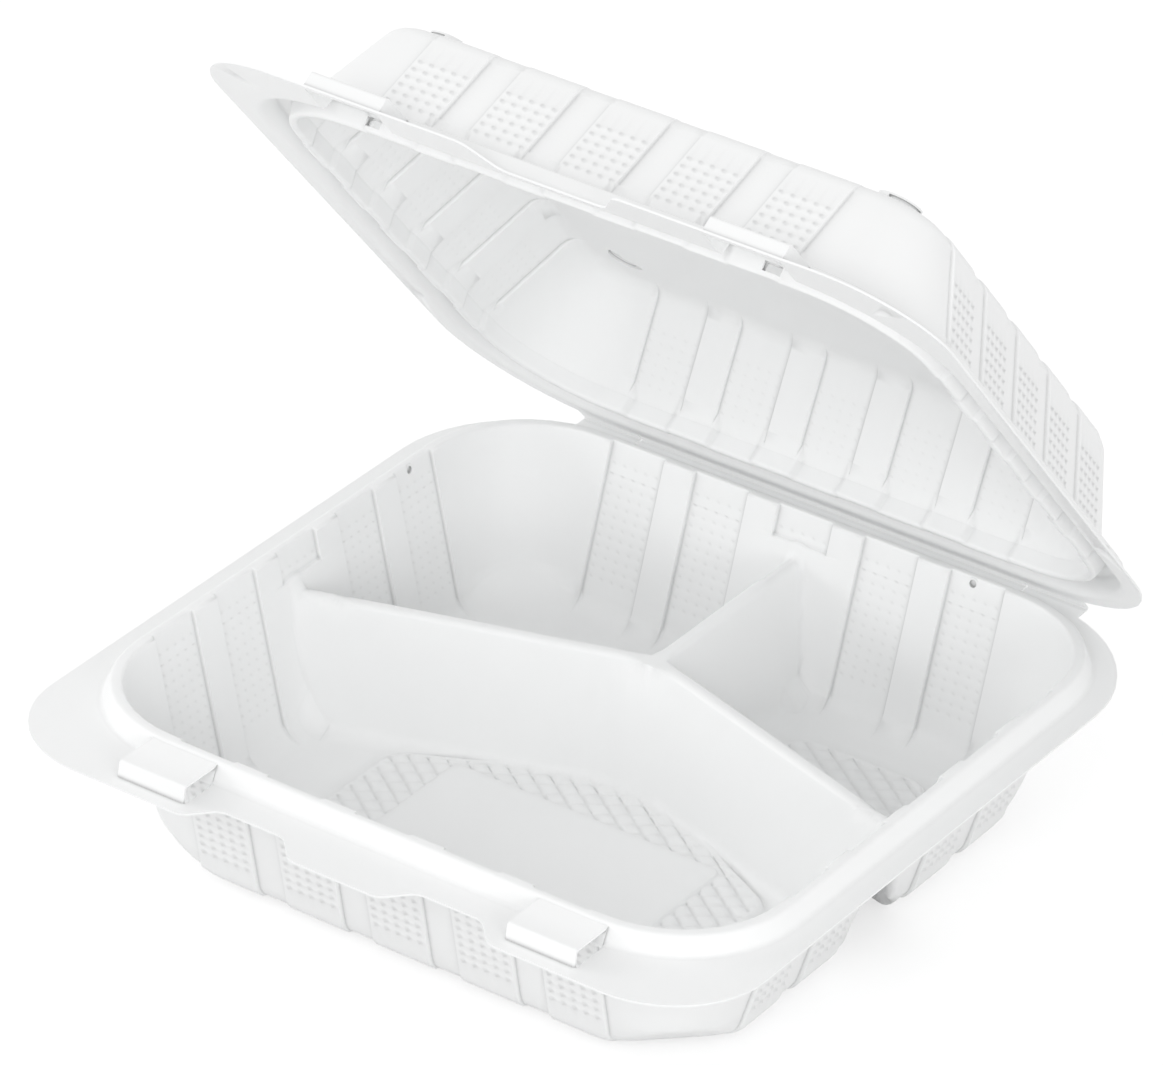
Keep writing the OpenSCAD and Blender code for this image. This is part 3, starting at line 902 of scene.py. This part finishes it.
# Materials
def crease_shade(nodes, links, colour):
    """A colour made darker in narrow creases, as the photo shows them."""
    near = nodes.new("ShaderNodeAmbientOcclusion")
    near.samples = CREASE_SAMPLES
    near.only_local = True
    near.inputs["Distance"].default_value = CREASE_REACH * MM
    depth = nodes.new("ShaderNodeMapRange")
    depth.inputs["From Min"].default_value, depth.inputs["From Max"].default_value = CREASE_OPEN
    depth.inputs["To Min"].default_value = CREASE_SHADE
    shaded = nodes.new("ShaderNodeMix")
    shaded.data_type = "RGBA"
    shaded.blend_type = "MULTIPLY"
    shaded.inputs["Factor"].default_value = 1
    links.new(near.outputs["AO"], depth.inputs["Value"])
    links.new(colour, shaded.inputs["A"])
    links.new(depth.outputs["Result"], shaded.inputs["B"])
    return shaded.outputs["Result"]


def noise(nodes, links, scale, detail):
    """Noise that stays with the piece when it moves."""
    place = nodes.new("ShaderNodeTexCoord")
    made = nodes.new("ShaderNodeTexNoise")
    made.inputs["Scale"].default_value = scale
    made.inputs["Detail"].default_value = detail
    links.new(place.outputs["Object"], made.inputs["Vector"])
    return made.outputs["Fac"]


def cloudy_tint(nodes, links, cloud):
    tint = nodes.new("ShaderNodeValToRGB")
    for element, (position, colour) in zip(tint.color_ramp.elements, TINTS):
        element.position = position
        element.color = colour
    links.new(cloud, tint.inputs["Fac"])
    return tint.outputs["Color"]


def cloudy_gloss(nodes, links, cloud):
    gloss = nodes.new("ShaderNodeMapRange")
    gloss.inputs["To Min"].default_value, gloss.inputs["To Max"].default_value = ROUGHNESS
    links.new(cloud, gloss.inputs["Value"])
    return gloss.outputs["Result"]


def fine_grain(nodes, links):
    bump = nodes.new("ShaderNodeBump")
    bump.inputs["Strength"].default_value = GRAIN_STRENGTH
    bump.inputs["Distance"].default_value = GRAIN_HEIGHT * MM
    links.new(noise(nodes, links, GRAIN_SCALE, GRAIN_DETAIL), bump.inputs["Height"])
    return bump.outputs["Normal"]


def let_light_through(material, share, tint):
    """Mixes a share of translucence into a material, for sheet that is thinned to a film."""
    nodes, links = material.node_tree.nodes, material.node_tree.links
    glow = nodes.new("ShaderNodeBsdfTranslucent")
    mix = nodes.new("ShaderNodeMixShader")
    mix.inputs["Fac"].default_value = share
    links.new(tint, glow.inputs["Color"])
    links.new(nodes["Principled BSDF"].outputs[0], mix.inputs[1])
    links.new(glow.outputs[0], mix.inputs[2])
    links.new(mix.outputs[0], nodes["Material Output"].inputs["Surface"])


def sheet_material(name, through=0):
    """Satin white sheet, which may let a share of the light through."""
    material = bpy.data.materials.new(name)
    material.use_nodes = True
    nodes, links = material.node_tree.nodes, material.node_tree.links
    shader = nodes["Principled BSDF"]
    cloud = noise(nodes, links, CLOUD_SCALE, CLOUD_DETAIL)
    tint = cloudy_tint(nodes, links, cloud)
    links.new(crease_shade(nodes, links, tint), shader.inputs["Base Color"])
    links.new(cloudy_gloss(nodes, links, cloud), shader.inputs["Roughness"])
    links.new(fine_grain(nodes, links), shader.inputs["Normal"])
    if through:
        let_light_through(material, through, tint)
    return material


SHEET = sheet_material("satin_white_sheet")
THIN_SHEET = sheet_material("thin_hinge_sheet", THIN_GLOW)


def dress(piece, material, turn=Matrix.Identity(4)):
    """Brings a piece to metres and to its place at rest, and gives it its material."""
    piece.data.transform(Matrix.Scale(MM, 4) @ turn)
    piece.data.materials.clear()
    piece.data.materials.append(material)
    piece.data.polygons.foreach_set("use_smooth", [True] * len(piece.data.polygons))
    piece.data.set_sharp_from_angle(angle=SHARP_EDGE)


def stand_for(piece, node):
    """Hands a piece to the body of the node that it replaces."""
    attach(piece, node)
    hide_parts(node)


STRAP_R = HINGE_Z - FLANGE_Z + WALL / 2


def strap_path():
    """Middle line of a strap round the hinge line, and the direction that its outer face looks in."""
    turns = np.linspace(-math.pi / 2, math.pi / 2 - LID_OPEN, 13)
    facing = np.array([(math.cos(t), math.sin(t)) for t in [turns[0], *turns, turns[-1]]])
    path = STRAP_R * facing
    path[0] += (-STRAP_RUN, 0)
    path[-1] += STRAP_RUN * np.array([-math.cos(LID_OPEN), math.sin(LID_OPEN)])
    return path, facing


def strap_mesh(middle, width):
    mesh = bmesh.new()
    rings = []
    corners = [(x, side) for side in (-1, 1) for x in (-side, side)]
    for place, out in zip(*strap_path()):
        sides = {side: (HINGE_Y, HINGE_Z) + place + side * out * STRAP_T / 2 for side in (-1, 1)}
        rings.append([mesh.verts.new((middle + x * width / 2, *sides[side])) for x, side in corners])
    for a, b in zip(rings, rings[1:]):
        for k in range(4):
            mesh.faces.new((a[k - 1], a[k], b[k], b[k - 1]))
    for ring in (rings[0], rings[-1]):
        mesh.faces.new(ring)
    bmesh.ops.recalc_face_normals(mesh, faces=mesh.faces)
    return mesh


def make_strap(name, middle, width):
    """Living hinge: a thin strip from the tray's flange, round the hinge line, to the lid's flange."""
    strap = new_object(name, strap_mesh(middle, width))
    dress(strap, THIN_SHEET)
    lid_side = strap_path()[1][-1]
    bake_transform(strap)


opening = (Matrix.Translation((0, HINGE_Y, HINGE_Z)) @ Matrix.Rotation(-LID_OPEN, 4, "X")
           @ Matrix.Translation((0, -HINGE_Y, -HINGE_Z)))
tray = make_tray()
dress(tray, SHEET)
stand_for(tray, "tray")
lid = make_lid()
dress(lid, SHEET, opening)
stand_for(lid, "lid")
make_strap("left_strap", -STRAP_X, STRAP_W)
make_strap("right_strap", STRAP_X, STRAP_W)
make_strap("hinge_web", 0, 2 * STRAP_X - STRAP_W - WEB_GAP)


# Camera at the photo's viewing angle, from a fit in pixels of the photo
PHOTO_W = 1163
FOCAL_PX = 7907.0
AZIMUTH = math.radians(32.28)
ELEVATION = math.radians(30.42)
ROLL = math.radians(3.49)
SHIFT_RIGHT = -2.9
SHIFT_UP = 77.6
DISTANCE = 2125.0
SENSOR_W = 36.0

# Light and floor, in metres and watts; a pair holds a level for plain light, then one as it is seen
WORLD_LEVEL = 0.8
LAMP_AIM = (0, 0, 0.08)
LAMP_SIZE = 0.7
LAMPS = {
    "key": ((-1.9, -0.7, 0.7), 7.5),
    "fill": ((1.6, -1.1, 0.5), 6),
    "front": ((0.5, -1.9, 1.25), 6),
}
WHITE = (1, 1, 1, 1)
FLOOR_HALF = 4
FLOOR_DROP = 0.0003
FLOOR_ROUGHNESS = 0.9
FLOOR_LEVELS = {"Base Color": (0.8, 0.5), "Emission Strength": (0, 0.6)}


def make_camera():
    back = Vector((math.sin(AZIMUTH) * math.cos(ELEVATION), -math.cos(AZIMUTH) * math.cos(ELEVATION),
                   math.sin(ELEVATION)))
    level = Vector((math.cos(AZIMUTH), math.sin(AZIMUTH), 0))
    upright = back.cross(level)
    right = level * math.cos(ROLL) + upright * math.sin(ROLL)
    up = upright * math.cos(ROLL) - level * math.sin(ROLL)
    data = bpy.data.cameras.new("camera")
    data.sensor_fit = "HORIZONTAL"
    data.sensor_width = SENSOR_W
    data.lens = FOCAL_PX / PHOTO_W * SENSOR_W
    data.clip_end = 100
    camera = bpy.data.objects.new("camera", data)
    bpy.context.scene.collection.objects.link(camera)
    place = (right * SHIFT_RIGHT + up * SHIFT_UP + back * DISTANCE) * MM
    camera.matrix_world = Matrix.Translation(place) @ Matrix((right, up, back)).transposed().to_4x4()
    bpy.context.scene.camera = camera


def make_lamp(name, place, power):
    data = bpy.data.lights.new(name, "AREA")
    data.size = LAMP_SIZE
    data.energy = power
    lamp = bpy.data.objects.new(name, data)
    bpy.context.scene.collection.objects.link(lamp)
    lamp.location = place
    lamp.rotation_euler = (Vector(LAMP_AIM) - Vector(place)).to_track_quat("-Z", "Y").to_euler()


def seen_directly(nodes, links):
    """One where the camera, a reflection or a view through glass meets the surface."""
    path = nodes.new("ShaderNodeLightPath")
    seen = path.outputs["Is Camera Ray"]
    for ray in ("Is Glossy Ray", "Is Transmission Ray"):
        either = nodes.new("ShaderNodeMath")
        either.operation = "MAXIMUM"
        links.new(seen, either.inputs[0])
        links.new(path.outputs[ray], either.inputs[1])
        seen = either.outputs[0]
    return seen


def make_world():
    world = bpy.data.worlds.new("studio")
    world.use_nodes = True
    bpy.context.scene.world = world
    nodes, links = world.node_tree.nodes, world.node_tree.links
    soft = nodes["Background"]
    soft.inputs["Color"].default_value = WHITE
    soft.inputs["Strength"].default_value = WORLD_LEVEL
    white = nodes.new("ShaderNodeBackground")
    mix = nodes.new("ShaderNodeMixShader")
    white.inputs["Color"].default_value = WHITE
    links.new(seen_directly(nodes, links), mix.inputs["Fac"])
    links.new(soft.outputs[0], mix.inputs[1])
    links.new(white.outputs[0], mix.inputs[2])
    links.new(mix.outputs[0], nodes["World Output"].inputs["Surface"])


def make_floor():
    mesh = bmesh.new()
    bmesh.ops.create_grid(mesh, x_segments=1, y_segments=1, size=FLOOR_HALF)
    floor = new_object("floor", mesh)
    floor.location.z = -FLOOR_DROP
    material = bpy.data.materials.new("pale_floor")
    material.use_nodes = True
    nodes, links = material.node_tree.nodes, material.node_tree.links
    shader = nodes["Principled BSDF"]
    shader.inputs["Roughness"].default_value = FLOOR_ROUGHNESS
    shader.inputs["Emission Color"].default_value = WHITE
    seen = seen_directly(nodes, links)
    for socket, (plain, shown) in FLOOR_LEVELS.items():
        choice = nodes.new("ShaderNodeMapRange")
        choice.inputs["To Min"].default_value = plain
        choice.inputs["To Max"].default_value = shown
        links.new(seen, choice.inputs["Value"])
        links.new(choice.outputs["Result"], shader.inputs[socket])
    floor.data.materials.append(material)


make_camera()
make_world()
make_floor()
for name, (place, power) in LAMPS.items():
    make_lamp(name, place, power)
bpy.context.scene.view_settings.view_transform = "Standard"
